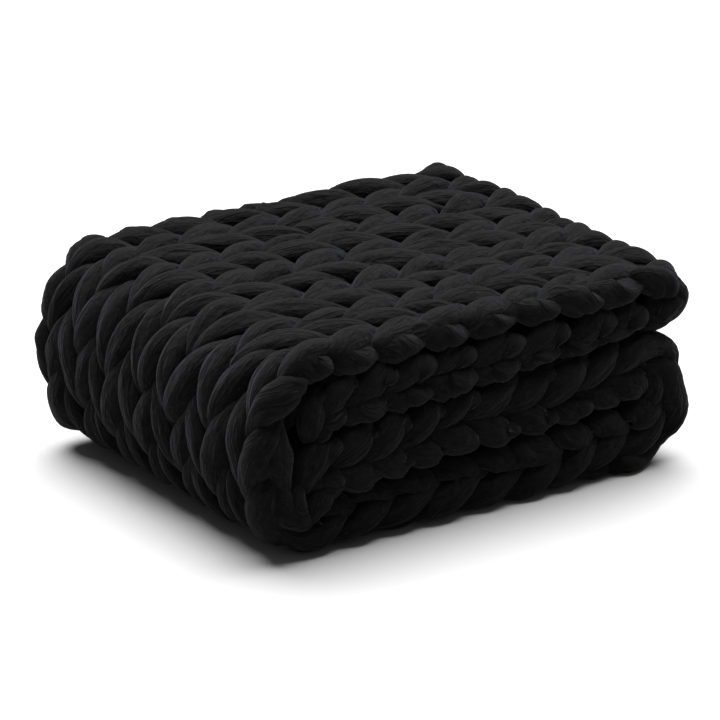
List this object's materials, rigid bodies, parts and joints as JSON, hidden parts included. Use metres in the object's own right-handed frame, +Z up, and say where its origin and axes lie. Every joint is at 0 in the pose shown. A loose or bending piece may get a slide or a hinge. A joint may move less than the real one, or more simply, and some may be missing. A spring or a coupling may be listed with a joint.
{
  "type": "folded chunky-knit weighted blanket",
  "caption": "Charcoal chunky hand-knit weighted blanket in plump stocking stitch, folded back and forth into a neat flat stack.",
  "frame": {"origin": "middle of the folded stack's footprint, on the surface it rests on", "axes": "+Z up; X along the wales, from the big wrapped fold at -X to the layered folds at +X; Y from selvedge to selvedge"},
  "size_m": [0.6044, 0.49, 0.249],
  "materials": {
    "yarn": "matt charcoal cotton yarn, plump and slightly fibrous"
  },
  "bodies": {
    "root": {"blanket": "yarn"}
  },
  "joints": []
}
